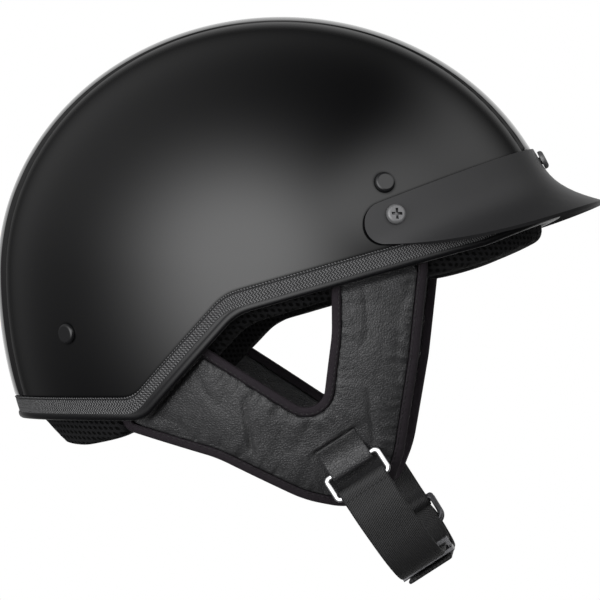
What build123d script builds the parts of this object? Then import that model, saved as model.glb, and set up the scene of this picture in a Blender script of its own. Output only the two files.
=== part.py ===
from build123d import *
import math
import os

os.makedirs("parts", exist_ok=True)

# Half shell helmet, in millimetres. +X is the front, +Y the wearer's left, +Z up.
# The origin is the centre of the head that the helmet sits on.

# Driving sizes of the shell
half_length = 140.5
half_width = 115.0
crown_height = 127.0
lower_depth = 176.0
shell_thickness = 3.5
skirt_depth = 92.0
quarter_turn = 90

# Side-view outlines are drawn for one half length and stretch with the shell
drawn_length = 140.5
drawn_reach = 170.0
stretch = half_length / drawn_length
reach = drawn_reach * stretch


def stretched(points):
    """Side-view points drawn for one shell length, moved to suit the real one"""
    return tuple((x * stretch, z) for x, z in points)



# Lower edge of the trim in side view, from the nape to the brow
drawn_edge = ((-58.0, -71.0), (-12.0, -21.0), (104.0, 12.0))
edge_corners = stretched(drawn_edge)
edge_rear_z = -73.5
edge_front_z = 40.0
edge_fillets = (14.0, 24.0, 60.0)

# Edge trim, a channel pushed over the rim
trim_height = 11.0
trim_wall = 1.3
trim_gap = 0.2
bead_height = 3.2
bead_bulge = 0.8
rim_seat = trim_wall + trim_gap

# Raised centre band, narrower at the brow, fading out towards the crown
band_rise = 1.3
band_fade = 0.2
band_front_half = 22.5
band_rear_half = 36.0
band_foot = trim_height + trim_gap

# Liner and pads
layer_gap = 0.3
liner_thickness = 24.0
liner_lift = 15.0
pad_thickness = 8.0
pad_hem_drop = 5.0
pad_top_z = 42.0
brow_hem_inset = 8.0
drawn_split_rear = -66.0
drawn_split_front = 80.0
pad_split_rear = drawn_split_rear * stretch
pad_split_front = drawn_split_front * stretch
split_gap = 0.6
crown_pad_radius = 62.0
drawn_roll = (
    (-170.0, -30.0), (-116.0, -73.0), (-101.0, -84.5), (-91.0, -84.8), (-40.0, -72.0), (-40.0, 10.0),
)
roll_outline = stretched(drawn_roll)
roll_radius = 8.0

# Strap anchors: webbing between shell and liner, held by rivets
webbing_width = 25.0
webbing_thickness = 2.0
web_inset = 5.3
drawn_front_web = ((56.0, 41.0), (53.0, -12.0))
drawn_rear_web = ((-96.0, -30.0), (-43.0, -61.5))
front_rivet, front_web_end = stretched(drawn_front_web)
rear_rivet, rear_web_end = stretched(drawn_rear_web)
web_overrun = 9.0
rivet_radius = 4.9
rivet_crown = 1.9
rivet_soft = 1.4
shank_radius = 2.4
shank_length = 9.6
hole_gap = 0.15
head_lift = 0.15
washer_radius = 7.5
washer_inset = 7.8
washer_thickness = 1.2
pocket_radius = 9.0
pocket_depth = 13.6

# Snap peak
peak_thickness = 2.0
peak_gap = 0.3
peak_half_angle = 78.0
peak_sections = 13
peak_steps = (0.0, 0.3, 0.55, 0.75, 0.9, 1.0)
peak_over = 5.0
tip_reach = 24.0
tip_z = 33.5
flare_end = 62.0
flare_fall = 1.2
flare_curl = 4.5
free_edge_end = 57.0
free_edge_z = 11.8
free_edge_curl = 2.0
drawn_top = ((56.5, 32.6), (125.0, 60.5))
top_line = stretched(drawn_top)
drawn_tab_back = 47.3
tab_back = drawn_tab_back * stretch
tab_radius = 9.5
tab_foot = 12.0
drawn_screw = (60.5, 25.5)
(side_screw,) = stretched((drawn_screw,))
front_screw_z = 54.0
front_screw_lift = 0.5
screw_radius = 4.75
screw_crown = 2.4
screw_soft = 1.5
screw_shank = 2.0
recess_width = 1.3
recess_length = 5.2
recess_depth = 1.3
nut_radius = 5.5
nut_length = 5.0

# Side panels of the harness, on their own tapering surface inside the trim
panel_inset = 7.6
panel_depth = 152.0
panel_skirt = 122.0
panel_thickness = 4.0
binding_width = 4.5
binding_proud = 0.7
panel_rise = 8.0
drawn_panel = (
    (-86.0, 70.0), (-86.0, -44.0), (-68.0, -76.5), (-24.0, -89.0), (17.0, -109.5), (38.0, -114.0),
    (57.0, -106.5), (64.0, -88.0), (71.5, -42.0), (76.0, 0.0), (76.0, 70.0),
)
panel_outline = stretched(drawn_panel)
panel_radii = (9.0, 6.0, 60.0, 60.0, 30.0, 9.0, 60.0, 120.0, 80.0)
drawn_window = ((-62.0, 70.0), (-62.0, -14.5), (26.0, -70.5), (31.5, -30.0), (31.5, 70.0))
window_outline = stretched(drawn_window)
window_radii = (5.0, 9.0, 60.0)
hem_clear = 0.4

# Chin strap, drawn in a plane that leans forward: across the head and down
strap_lean = 33.0
drawn_ring = (39.3895, -91.868)
((ring_x, ring_z),) = stretched((drawn_ring,))
tab_clear = 2.577
ring_drop = 11.6
ring_wire = 2.4
ring_length = 31.0
ring_corner = 3.0
ring_soft = 1.0
loop_gap = 0.35
tab_leather = 1.6
tab_width = 22.0
tab_up = 14.0
strap_drop = 60.5
strap_turn = 40.0
strap_left_turn = 22.0
stitch_drop = 19.5
stitch_lap = 1.0
tail_step = 5.2
tail_end = -17.0
d_ring_angle = 25.0
d_ring_inset = 2.0
d_ring_drop = 38.7
d_ring_wire = 2.8
d_ring_width = 32.0
d_ring_height = 16.8
d_ring_corner = 6.0
d_ring_top_corner = 2.0
d_ring_soft = 1.2
d_ring_spread = 1.6
d_tab_layer = 1.6
fold_down = 9.0
fold_in = 5.8
fold_turn = 1.7

# Strap slider
slider_length = 29.6
slider_run = 14.0
slider_bar = 2.6
slider_thickness = 2.6
slider_place = -3.0
slider_gap = 0.3
slider_side = 1.8
slider_soft = 0.6


def solid_dome(length, width, up, down, skirt):
    """Closed dome: half an ellipse above, the start of a deeper one below"""
    turn = math.degrees(math.asin(skirt / down))
    with BuildPart() as layer:
        with BuildSketch(Plane.XZ):
            with BuildLine():
                lower = EllipticalCenterArc((0, 0), length, down, -turn, arc_size=turn)
                EllipticalCenterArc((0, 0), length, up, 0, arc_size=quarter_turn)
                Polyline((0, up), (0, -skirt), lower @ 0)
            make_face()
        revolve(axis=Axis.Z)
        scale(by=(1, width / length, 1))
    return layer.part


def dome(outset, crown_outset=None):
    """Everything inside the shell's outer face once it is moved out by outset"""
    up = crown_height + (outset if crown_outset is None else crown_outset)
    return solid_dome(half_length + outset, half_width + outset, up, lower_depth + outset, skirt_depth)


def panel_dome(outset):
    """Everything inside the outer face of the side panels, moved out by outset"""
    step = outset - panel_inset
    return solid_dome(
        half_length + step, half_width + step, crown_height + step, panel_depth + outset, panel_skirt
    )


def edge_line(rise):
    """Corners of the lower edge, moved up by rise at right angles to the edge"""
    ends = ((-reach, edge_rear_z), *edge_corners, (reach, edge_front_z))
    lines = []
    for start, end in zip(ends, ends[1:]):
        run = math.dist(start, end)
        along = ((end[0] - start[0]) / run, (end[1] - start[1]) / run)
        lines.append(((start[0] - along[1] * rise, start[1] + along[0] * rise), along, run))
    points = [lines[0][0]]
    for (p, u, _), (q, v, _) in zip(lines, lines[1:]):
        cross = u[0] * v[1] - u[1] * v[0]
        step = ((q[0] - p[0]) * v[1] - (q[1] - p[1]) * v[0]) / cross
        points.append((p[0] + u[0] * step, p[1] + u[1] * step))
    p, u, run = lines[-1]
    points.append((p[0] + u[0] * run, p[1] + u[1] * run))
    return points


def above_edge(rise):
    """Everything above the lower edge once it is moved up by rise"""
    points = edge_line(rise)
    with BuildPart() as block:
        with BuildSketch(Plane.XZ):
            with BuildLine():
                FilletPolyline(*points, radius=edge_fillets)
                Polyline(points[-1], (reach, reach), (-reach, reach), points[0])
            make_face()
        extrude(amount=reach, both=True)
    return block.part


def side_block(outline, radii, spread=0.0, both=False):
    """Side-view outline pushed across the helmet, to the right side alone or to both"""
    with BuildPart() as block:
        with BuildSketch(Plane.XZ):
            with BuildLine():
                FilletPolyline(*outline, radius=radii)
                Line(outline[-1], outline[0])
            make_face()
            if spread:
                offset(amount=spread)
        extrude(amount=reach, both=both)
    return block.part


def strip_block(start, end, width, longer=0.0):
    """Straight strip in side view from start to end, on the right side"""
    run = math.dist(start, end)
    along = ((end[0] - start[0]) / run, (end[1] - start[1]) / run)
    middle = ((start[0] + end[0]) / 2, (start[1] + end[1]) / 2)
    middle = (middle[0] - along[0] * longer / 2, middle[1] - along[1] * longer / 2)
    with BuildPart() as block:
        with BuildSketch(Plane.XZ):
            with Locations(Location((*middle, 0), math.degrees(math.atan2(along[1], along[0])))):
                Rectangle(run + longer, width)
        extrude(amount=reach)
    return block.part


def box_between(low, high):
    """Upright block between two corners"""
    size = [b - a for a, b in zip(low, high)]
    centre = [(a + b) / 2 for a, b in zip(low, high)]
    with BuildPart() as block:
        with Locations(tuple(centre)):
            Box(*size)
    return block.part


def outward_plane(x, z, side):
    """Plane on the shell's outer face with its normal pointing out"""
    down = crown_height if z > 0 else lower_depth
    if side:
        y = side * half_width * math.sqrt(1 - (x / half_length) ** 2 - (z / down) ** 2)
    else:
        x, y = half_length * math.sqrt(1 - (z / down) ** 2), 0
    normal = Vector(x / half_length ** 2, y / half_width ** 2, z / down ** 2)
    return Plane(origin=(x, y, z), x_dir=normal.cross(Vector(0, 0, 1)), z_dir=normal)


def shank_hole(plane, radius):
    """Hole for a shank, straight through shell and webbing"""
    with BuildPart() as hole:
        with BuildSketch(plane.offset(-pocket_depth)):
            Circle(radius)
        extrude(amount=2 * pocket_depth)
    return hole.part


def mirrored(part):
    """The same piece on the other side of the helmet"""
    return mirror(part, about=Plane.XZ)


def keep(part, name):
    """Label a piece and write its file"""
    part.label = name
    export_step(part, f"parts/{name}.step")
    print(name, round(part.volume), part.is_valid)


rivet_planes = {
    "right_front": outward_plane(*front_rivet, -1),
    "left_front": outward_plane(*front_rivet, 1),
    "right_rear": outward_plane(*rear_rivet, -1),
    "left_rear": outward_plane(*rear_rivet, 1),
}
screw_planes = {
    "right": outward_plane(*side_screw, -1),
    "left": outward_plane(*side_screw, 1),
    "front": outward_plane(0, front_screw_z, 0),
}

# Layers that several pieces share
shell_outer = dome(0)
shell_inner = dome(-shell_thickness)
liner_outer = dome(-shell_thickness - layer_gap)
liner_depth = shell_thickness + layer_gap + liner_thickness
liner_inner = dome(-liner_depth)
pad_outer_inset = liner_depth + layer_gap
pad_inset = pad_outer_inset + pad_thickness
pad_outer = dome(-pad_outer_inset)
pad_inner = dome(-pad_inset)
rim = above_edge(rim_seat)
liner_rim = above_edge(liner_lift)
hem_line = above_edge(-pad_hem_drop)

# Outer shell with its centre band
with BuildPart() as band_strip:
    with BuildSketch(Plane.XY):
        with BuildLine():
            Polyline((-reach, -band_rear_half), (reach, -band_front_half), (reach, band_front_half),
                     (-reach, band_rear_half), (-reach, -band_rear_half))
        make_face()
    extrude(amount=reach, both=True)

top_slope = (top_line[1][1] - top_line[0][1]) / (top_line[1][0] - top_line[0][0])
top_at_reach = top_line[0][1] + top_slope * (reach - top_line[0][0])
with BuildPart() as peak_shadow:
    with BuildSketch(Plane.XZ):
        with BuildLine():
            Polyline((0, -reach), (reach, -reach), (reach, top_at_reach + peak_gap),
                     (0, top_at_reach - top_slope * reach + peak_gap), (0, -reach))
        make_face()
    extrude(amount=reach, both=True)

with BuildPart() as centre_band:
    add(dome(band_rise, band_fade))
    add(band_strip.part, mode=Mode.INTERSECT)
    add(above_edge(band_foot), mode=Mode.INTERSECT)
    add(peak_shadow.part, mode=Mode.SUBTRACT)

with BuildPart() as outer_shell:
    add(shell_outer)
    add(centre_band.part)
    add(shell_inner, mode=Mode.SUBTRACT)
    add(rim, mode=Mode.INTERSECT)
    for place in rivet_planes.values():
        add(shank_hole(place, shank_radius + hole_gap), mode=Mode.SUBTRACT)
    for place in screw_planes.values():
        add(shank_hole(place, screw_shank + hole_gap), mode=Mode.SUBTRACT)
keep(outer_shell.part, "outer_shell")

# Edge trim: channel walls each side of the rim, with a fuller bead below
channel_out = trim_gap + trim_wall
channel_in = shell_thickness + trim_gap
with BuildPart() as rim_groove:
    add(dome(trim_gap))
    add(dome(-channel_in), mode=Mode.SUBTRACT)
    add(above_edge(trim_wall), mode=Mode.INTERSECT)

with BuildPart() as bead:
    add(dome(channel_out + bead_bulge))
    add(dome(-channel_in - trim_wall), mode=Mode.SUBTRACT)
    add(above_edge(0), mode=Mode.INTERSECT)
    add(above_edge(bead_height), mode=Mode.SUBTRACT)

with BuildPart() as edge_trim:
    add(dome(channel_out))
    add(dome(-channel_in - trim_wall), mode=Mode.SUBTRACT)
    add(above_edge(0), mode=Mode.INTERSECT)
    add(above_edge(trim_height), mode=Mode.SUBTRACT)
    add(bead.part)
    add(rim_groove.part, mode=Mode.SUBTRACT)
keep(edge_trim.part, "edge_trim")

# Webbing between shell and liner, from each rivet down to the side panel
web_outer = dome(-web_inset)
web_inner = dome(-web_inset - webbing_thickness)
groove_inner = dome(-web_inset - webbing_thickness - layer_gap)
panel_rim = above_edge(panel_rise)
web_rim = above_edge(bead_height)
webs = {
    "front": (front_rivet, front_web_end),
    "rear": (rear_rivet, rear_web_end),
}
grooves = []
for name, (start, end) in webs.items():
    with BuildPart() as webbing:
        add(web_outer)
        add(web_inner, mode=Mode.SUBTRACT)
        add(strip_block(start, end, webbing_width, web_overrun), mode=Mode.INTERSECT)
        add(web_rim, mode=Mode.INTERSECT)
        add(shank_hole(rivet_planes["right_" + name], shank_radius + hole_gap), mode=Mode.SUBTRACT)
        add(shank_hole(screw_planes["right"], screw_shank + hole_gap), mode=Mode.SUBTRACT)
    keep(webbing.part, f"right_{name}_webbing")
    keep(mirrored(webbing.part), f"left_{name}_webbing")
    with BuildPart() as groove:
        add(shell_inner)
        add(groove_inner, mode=Mode.SUBTRACT)
        groove_width = webbing_width + 2 * layer_gap
        groove_end = web_overrun + 2 * layer_gap
        add(strip_block(start, end, groove_width, groove_end), mode=Mode.INTERSECT)
    grooves.append(groove.part)

# Foam liner, grooved for the webbing and pocketed for washers and nuts
with BuildPart() as impact_liner:
    add(liner_outer)
    add(liner_inner, mode=Mode.SUBTRACT)
    add(liner_rim, mode=Mode.INTERSECT)
    for groove in grooves:
        add(groove, mode=Mode.SUBTRACT)
        add(mirrored(groove), mode=Mode.SUBTRACT)
    for place in (*rivet_planes.values(), *screw_planes.values()):
        add(shank_hole(place, pocket_radius), mode=Mode.SUBTRACT)
keep(impact_liner.part, "impact_liner")

# Comfort pads under the liner; the brow and side pads turn out below it as a hem
with BuildPart() as crown_pad:
    add(pad_outer)
    add(pad_inner, mode=Mode.SUBTRACT)
    with BuildSketch(Plane.XY.offset(pad_top_z)):
        Circle(crown_pad_radius)
    extrude(amount=reach, mode=Mode.INTERSECT)
keep(crown_pad.part, "crown_pad")

liner_space = (dome(0), dome(-pad_outer_inset), above_edge(liner_lift - layer_gap))
with BuildPart() as liner_room:
    add(liner_space[0])
    add(liner_space[1], mode=Mode.SUBTRACT)
    add(liner_space[2], mode=Mode.INTERSECT)


def hemmed_pad(outer, low, high):
    """Pad inside the liner with a hem that fills the space below it"""
    with BuildPart() as pad:
        add(outer)
        add(pad_inner, mode=Mode.SUBTRACT)
        add(hem_line, mode=Mode.INTERSECT)
        add(box_between(low, high), mode=Mode.INTERSECT)
        add(liner_room.part, mode=Mode.SUBTRACT)
    return pad.part


side_low = (pad_split_rear + split_gap, -reach, -skirt_depth)
side_high = (pad_split_front - split_gap, 0, pad_top_z)
right_pad = hemmed_pad(panel_dome(-panel_thickness - binding_proud - hem_clear), side_low, side_high)
keep(right_pad, "right_side_pad")
keep(mirrored(right_pad), "left_side_pad")
brow_low = (pad_split_front, -reach, -skirt_depth)
keep(hemmed_pad(dome(-brow_hem_inset), brow_low, (reach, reach, pad_top_z)), "brow_pad")

with BuildPart() as panel_room:
    add(side_block(panel_outline, panel_radii, hem_clear, both=True))
    add(panel_dome(-panel_thickness - binding_proud - hem_clear), mode=Mode.SUBTRACT)

with BuildPart() as neck_roll:
    add(dome(-brow_hem_inset))
    add(pad_inner, mode=Mode.SUBTRACT)
    add(side_block(roll_outline, roll_radius, both=True), mode=Mode.INTERSECT)
    rear_high = (pad_split_rear, reach, pad_top_z)
    add(box_between((-reach, -reach, -reach), rear_high), mode=Mode.INTERSECT)
    add(liner_room.part, mode=Mode.SUBTRACT)
    add(panel_room.part, mode=Mode.SUBTRACT)
keep(neck_roll.part, "neck_roll")


# Rivets and their washers
def turned_head(plane, lift, radius, crown, soft, shank, length):
    """Domed head on a shank, the head's underside lifted off the surface"""
    with BuildPart() as piece:
        with BuildSketch(plane.offset(lift)):
            Circle(radius)
        extrude(amount=crown)
        fillet(piece.faces().sort_by(Axis(plane.origin, plane.z_dir))[-1].edges(), soft)
        with BuildSketch(plane.offset(lift)):
            Circle(shank)
        extrude(amount=-length - lift)
    return piece.part


for name, place in rivet_planes.items():
    rivet = turned_head(
        place, head_lift, rivet_radius, rivet_crown, rivet_soft, shank_radius, shank_length
    )
    keep(rivet, name + "_rivet")
    with BuildPart() as washer:
        with BuildSketch(place.offset(-washer_inset)):
            Circle(washer_radius)
            Circle(shank_radius + hole_gap, mode=Mode.SUBTRACT)
        extrude(amount=-washer_thickness)
    keep(washer.part, name + "_washer")


# Snap peak: sections round the brow that hug the shell and flare to a free edge
def fall_off(angle, end, power):
    """One at the middle of the brow, zero from the end angle on"""
    share = (math.cos(math.radians(angle)) - math.cos(math.radians(end))) / (
        1 - math.cos(math.radians(end))
    )
    return max(0.0, share) ** power


def peak_curve(angle, share):
    """Distance from the middle and height of the peak's inner face, top to free edge"""
    turn = math.radians(angle)
    length, width = half_length + peak_gap, half_width + peak_gap
    girth = 1 / math.hypot(math.cos(turn) / length, math.sin(turn) / width)
    top = top_line[0][1]
    for _ in range(4):
        across = girth * math.cos(turn) * math.sqrt(1 - (top / crown_height) ** 2)
        top = top_line[0][1] + top_slope * (across - top_line[0][0]) + peak_over
    foot = free_edge_z + (tip_z - free_edge_z) * fall_off(angle, free_edge_end, free_edge_curl)
    z = top + (foot - top) * share
    flare = tip_reach * fall_off(angle, flare_end, flare_fall) * share ** flare_curl
    return girth * math.sqrt(1 - (z / crown_height) ** 2) + flare, z


def peak_outer(angle, share):
    """The same place on the peak's outer face"""
    nudge = 0.01
    low = peak_curve(angle, max(0.0, share - nudge))
    high = peak_curve(angle, min(1.0, share + nudge))
    run = math.dist(low, high)
    here = peak_curve(angle, share)
    across = peak_thickness * (low[1] - high[1]) / run
    rise = peak_thickness * (high[0] - low[0]) / run
    return here[0] + across, here[1] + rise


with BuildPart() as peak:
    for count in range(peak_sections):
        angle = peak_half_angle * (2 * count / (peak_sections - 1) - 1)
        turn = math.radians(angle)
        ahead = Vector(math.cos(turn), math.sin(turn), 0)
        aside = Vector(math.sin(turn), -math.cos(turn), 0)
        with BuildSketch(Plane(origin=(0, 0, 0), x_dir=ahead, z_dir=aside)):
            with BuildLine():
                inner = Spline(*[peak_curve(angle, step) for step in peak_steps])
                outer = Spline(*[peak_outer(angle, step) for step in peak_steps])
                Line(inner @ 0, outer @ 0)
                Line(inner @ 1, outer @ 1)
            make_face()
    loft()
    tab_top = top_line[0][1] + top_slope * (tab_back - top_line[0][0])
    with BuildSketch(Plane.XZ):
        with BuildLine():
            FilletPolyline((reach, top_at_reach), (tab_back, tab_top), (tab_back, tab_foot),
                           (reach, tab_foot), radius=tab_radius)
            Line((reach, tab_foot), (reach, top_at_reach))
        make_face()
    extrude(amount=reach, both=True, mode=Mode.INTERSECT)
    for place in screw_planes.values():
        add(shank_hole(place, screw_shank + hole_gap), mode=Mode.SUBTRACT)
keep(peak.part, "visor")

# Visor screws with a cross recess, and the nuts behind the shell
for name, place in screw_planes.items():
    behind = shell_thickness + layer_gap if name == "front" else washer_inset
    lift = peak_gap + peak_thickness + head_lift + (front_screw_lift if name == "front" else 0)
    head = turned_head(
        place, lift, screw_radius, screw_crown, screw_soft, screw_shank, behind + nut_length
    )
    with BuildPart() as screw:
        add(head)
        with BuildSketch(place.offset(lift + screw_crown)):
            Rectangle(recess_length, recess_width)
            Rectangle(recess_width, recess_length)
        extrude(amount=-recess_depth, mode=Mode.SUBTRACT)
    keep(screw.part, name + "_visor_screw")
    with BuildPart() as nut:
        with BuildSketch(place.offset(-behind)):
            RegularPolygon(nut_radius, 6)
            Circle(screw_shank + hole_gap, mode=Mode.SUBTRACT)
        extrude(amount=-nut_length)
    keep(nut.part, name + "_visor_nut")

# Side panels: leather between bound edges, in one tapering layer
panel_layer = (panel_dome(0), panel_dome(-panel_thickness))
binding_layer = (panel_dome(binding_proud), panel_dome(-panel_thickness - binding_proud))
whole = side_block(panel_outline, panel_radii)
leather = side_block(panel_outline, panel_radii, -binding_width)
window = side_block(window_outline, window_radii)
wide_window = side_block(window_outline, window_radii, binding_width)

with BuildPart() as side_panel:
    add(panel_layer[0])
    add(panel_layer[1], mode=Mode.SUBTRACT)
    add(leather, mode=Mode.INTERSECT)
    add(wide_window, mode=Mode.SUBTRACT)
    add(panel_rim, mode=Mode.SUBTRACT)

with BuildPart() as edge_binding:
    add(binding_layer[0])
    add(binding_layer[1], mode=Mode.SUBTRACT)
    add(whole, mode=Mode.INTERSECT)
    add(leather, mode=Mode.SUBTRACT)
    add(panel_rim, mode=Mode.SUBTRACT)

with BuildPart() as window_binding:
    add(binding_layer[0])
    add(binding_layer[1], mode=Mode.SUBTRACT)
    add(wide_window, mode=Mode.INTERSECT)
    add(window, mode=Mode.SUBTRACT)
    add(panel_rim, mode=Mode.SUBTRACT)

for piece, name in (
    (side_panel.part, "side_panel"),
    (edge_binding.part, "edge_binding"),
    (window_binding.part, "window_binding"),
):
    keep(piece, "right_" + name)
    keep(mirrored(piece), "left_" + name)

# Plane of the chin strap: first axis to the wearer's left, second axis up the strap
lean = math.radians(strap_lean)
across_strap = Vector(math.cos(lean), 0, math.sin(lean))
strap_line = ring_x * math.cos(lean) + ring_z * math.sin(lean)
strap_plane = Plane(origin=across_strap * strap_line, x_dir=(0, 1, 0), z_dir=across_strap)
ring_radius = ring_wire / 2

# The ring's upper bar stands off the panel's outer face by the same gap on any size of shell
share_used = (ring_x / (half_length - panel_inset)) ** 2 + (ring_z / panel_depth) ** 2
ring_y = (half_width - panel_inset) * math.sqrt(1 - share_used) + tab_clear
tab_bar = ring_x * math.sin(lean) - ring_z * math.cos(lean)
strap_bar = tab_bar + ring_drop
strap_low = tab_bar + strap_drop
stitch_end = tab_bar + stitch_drop

# Rectangular ring and its leather tab
ring_middle = strap_plane.from_local_coords((-ring_y, -(tab_bar + strap_bar) / 2, 0))
with BuildPart() as ring:
    with BuildSketch(Plane(origin=ring_middle, x_dir=across_strap, z_dir=(0, 1, 0))):
        RectangleRounded(ring_length, ring_drop + ring_wire, ring_corner)
        RectangleRounded(ring_length - 2 * ring_wire, ring_drop - ring_wire, ring_soft, mode=Mode.SUBTRACT)
    extrude(amount=ring_radius, both=True)
    fillet(ring.edges().filter_by(GeomType.LINE).filter_by(Axis.Y, reverse=True)
           + ring.edges().filter_by(GeomType.CIRCLE), ring_soft)
keep(ring.part, "right_ring")
keep(mirrored(ring.part), "left_ring")

loop_inner = ring_radius + loop_gap
tab_outer = loop_inner + tab_leather
with BuildPart() as ring_tab:
    with BuildSketch(strap_plane):
        with Locations((-ring_y, -tab_bar)):
            Circle(tab_outer)
        with Locations((-ring_y - tab_outer, -tab_bar)):
            Rectangle(2 * tab_outer, tab_up, align=(Align.MIN, Align.MIN))
        with Locations((-ring_y, -tab_bar)):
            Circle(loop_inner, mode=Mode.SUBTRACT)
    extrude(amount=tab_width / 2, both=True)
    add(panel_dome(layer_gap), mode=Mode.SUBTRACT)
keep(ring_tab.part, "right_ring_tab")
keep(mirrored(ring_tab.part), "left_ring_tab")

# D-rings hang on the far side along the strap's curve
d_turn = math.radians(d_ring_angle)
d_down = Vector(-math.sin(d_turn), -math.cos(d_turn))
d_out = Vector(math.cos(d_turn), -math.sin(d_turn))
d_root = Vector(ring_y - d_ring_inset, -tab_bar - d_ring_drop)


def by_d_ring(down, out):
    """Point in the strap's plane, counted along and across the hanging D-rings"""
    return d_root + d_down * down + d_out * out


# Chin strap: sewn loop on the right ring, round below the chin, folded back on the left
half_web = webbing_thickness / 2
strap_side = ring_y - half_web
fold_side = by_d_ring(fold_down, -fold_in)
fold_back = by_d_ring(fold_down, fold_in)
tail_low = strap_low + tail_step
inner_turn_x = fold_side.X + d_down.X / -d_down.Y * (fold_side.Y + strap_low)
outer_turn_x = fold_back.X + d_down.X / -d_down.Y * (fold_back.Y + tail_low)
strap_route = (
    (-strap_side, -stitch_end + stitch_lap), (-strap_side, -strap_low), (inner_turn_x, -strap_low),
    (fold_side.X, fold_side.Y), (fold_back.X, fold_back.Y), (outer_turn_x, -tail_low),
    (tail_end, -tail_low),
)
strap_radii = (strap_turn, strap_left_turn, fold_turn, fold_turn, strap_left_turn)
with BuildPart() as chin_strap:
    with BuildSketch(strap_plane):
        with BuildLine() as route:
            FilletPolyline(*strap_route, radius=strap_radii)
        trace(line_width=webbing_thickness)
        with Locations((-ring_y, -(strap_bar + stitch_end) / 2)):
            Rectangle(2 * webbing_thickness, stitch_end - strap_bar)
        with Locations((-ring_y, -strap_bar)):
            Circle(loop_inner + webbing_thickness)
            Circle(loop_inner, mode=Mode.SUBTRACT)
    extrude(amount=webbing_width / 2, both=True)
keep(chin_strap.part, "chin_strap")

# Short webbing tab from the left ring to the two D-rings
d_radius = d_ring_wire / 2
slot_width = 2 * (d_ring_spread + d_radius + loop_gap)
slot_height = 2 * (d_radius + loop_gap)
with BuildPart() as d_ring_tab:
    with BuildSketch(strap_plane):
        with BuildLine():
            Line((ring_y, -strap_bar), (d_root.X, d_root.Y))
        trace(line_width=2 * d_tab_layer)
        with Locations((ring_y, -strap_bar)):
            Circle(loop_inner + d_tab_layer)
            Circle(loop_inner, mode=Mode.SUBTRACT)
        with Locations(Location((d_root.X, d_root.Y, 0), -d_ring_angle)):
            SlotOverall(slot_width + 2 * d_tab_layer, slot_height + 2 * d_tab_layer)
            SlotOverall(slot_width, slot_height, mode=Mode.SUBTRACT)
    extrude(amount=webbing_width / 2, both=True)
keep(d_ring_tab.part, "d_ring_tab")

d_out_real = Vector(0, d_out.X, 0) + strap_plane.y_dir * d_out.Y


def d_outline(width, height, root_corner, bow_corner, mode=Mode.ADD):
    """Outline of a D-ring, the straight bar at the top and the bow below"""
    with BuildSketch(mode=mode) as outline:
        Rectangle(width, height)
        fillet(outline.vertices().group_by(Axis.Y)[0], root_corner)
        fillet(outline.vertices().group_by(Axis.Y)[-1], bow_corner)
    return outline.sketch


for name, place in (("inner_d_ring", -d_ring_spread), ("outer_d_ring", d_ring_spread)):
    middle = by_d_ring((d_ring_height - d_ring_wire) / 2, place)
    middle_real = strap_plane.from_local_coords((middle.X, middle.Y, 0))
    ring_plane = Plane(origin=middle_real, x_dir=across_strap, z_dir=d_out_real)
    inner_width = d_ring_width - 2 * d_ring_wire
    inner_height = d_ring_height - 2 * d_ring_wire
    with BuildPart() as d_ring:
        with BuildSketch(ring_plane):
            add(d_outline(d_ring_width, d_ring_height, d_ring_top_corner, d_ring_corner))
            add(d_outline(inner_width, inner_height, d_ring_soft, d_ring_corner - d_ring_wire),
                mode=Mode.SUBTRACT)
        extrude(amount=d_radius, both=True)
        fillet(d_ring.faces().group_by(Axis(middle_real, d_out_real))[0].edges(), d_ring_soft)
        fillet(d_ring.faces().group_by(Axis(middle_real, d_out_real))[-1].edges(), d_ring_soft)
    keep(d_ring.part, name)

# Slider: flat frame between strap and tail, its middle bar standing over the strap
frame_top = strap_low + half_web + slider_gap
frame_middle = frame_top + slider_thickness / 2
frame_low = frame_top + slider_thickness
bar_low = strap_low - half_web - slider_gap
bar_top = bar_low - slider_thickness
side_middle = slider_length / 2 - slider_side / 2
end_bar_place = (slider_run - slider_bar) / 2
with BuildPart() as strap_slider:
    with BuildSketch(strap_plane):
        with Locations((slider_place - end_bar_place, -frame_middle),
                       (slider_place + end_bar_place, -frame_middle)):
            Rectangle(slider_bar, slider_thickness)
        with Locations((slider_place, -(bar_low + bar_top) / 2)):
            Rectangle(slider_bar, slider_thickness)
    extrude(amount=slider_length / 2, both=True)
    with BuildSketch(strap_plane.offset(-side_middle), strap_plane.offset(side_middle)):
        with Locations((slider_place, -frame_middle)):
            Rectangle(slider_run, slider_thickness)
        with Locations((slider_place, -(bar_top + frame_low) / 2)):
            Rectangle(slider_bar, frame_low - bar_top)
    extrude(amount=slider_side / 2, both=True)
    long_edges = strap_slider.edges().filter_by(Axis((0, 0, 0), across_strap))
    fillet(long_edges.filter_by(lambda edge: edge.length > webbing_width), slider_soft)
keep(strap_slider.part, "strap_slider")
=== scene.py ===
import math
import bmesh
import bpy
import numpy as np
from mathutils import Matrix, Vector, noise


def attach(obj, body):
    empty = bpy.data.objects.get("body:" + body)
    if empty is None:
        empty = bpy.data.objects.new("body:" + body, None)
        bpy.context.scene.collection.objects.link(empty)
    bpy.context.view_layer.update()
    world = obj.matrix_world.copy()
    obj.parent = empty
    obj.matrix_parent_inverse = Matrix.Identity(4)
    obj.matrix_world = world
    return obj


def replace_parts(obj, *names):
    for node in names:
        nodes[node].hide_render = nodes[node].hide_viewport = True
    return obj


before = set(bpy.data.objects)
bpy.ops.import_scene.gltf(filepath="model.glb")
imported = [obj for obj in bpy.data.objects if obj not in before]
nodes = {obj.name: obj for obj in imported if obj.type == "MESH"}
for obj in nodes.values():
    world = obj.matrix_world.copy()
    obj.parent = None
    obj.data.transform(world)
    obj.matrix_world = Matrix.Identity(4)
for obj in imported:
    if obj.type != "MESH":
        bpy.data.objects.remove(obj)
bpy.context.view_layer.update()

mm = 0.001
scene = bpy.context.scene
scene.view_settings.view_transform = "Standard"


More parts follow.
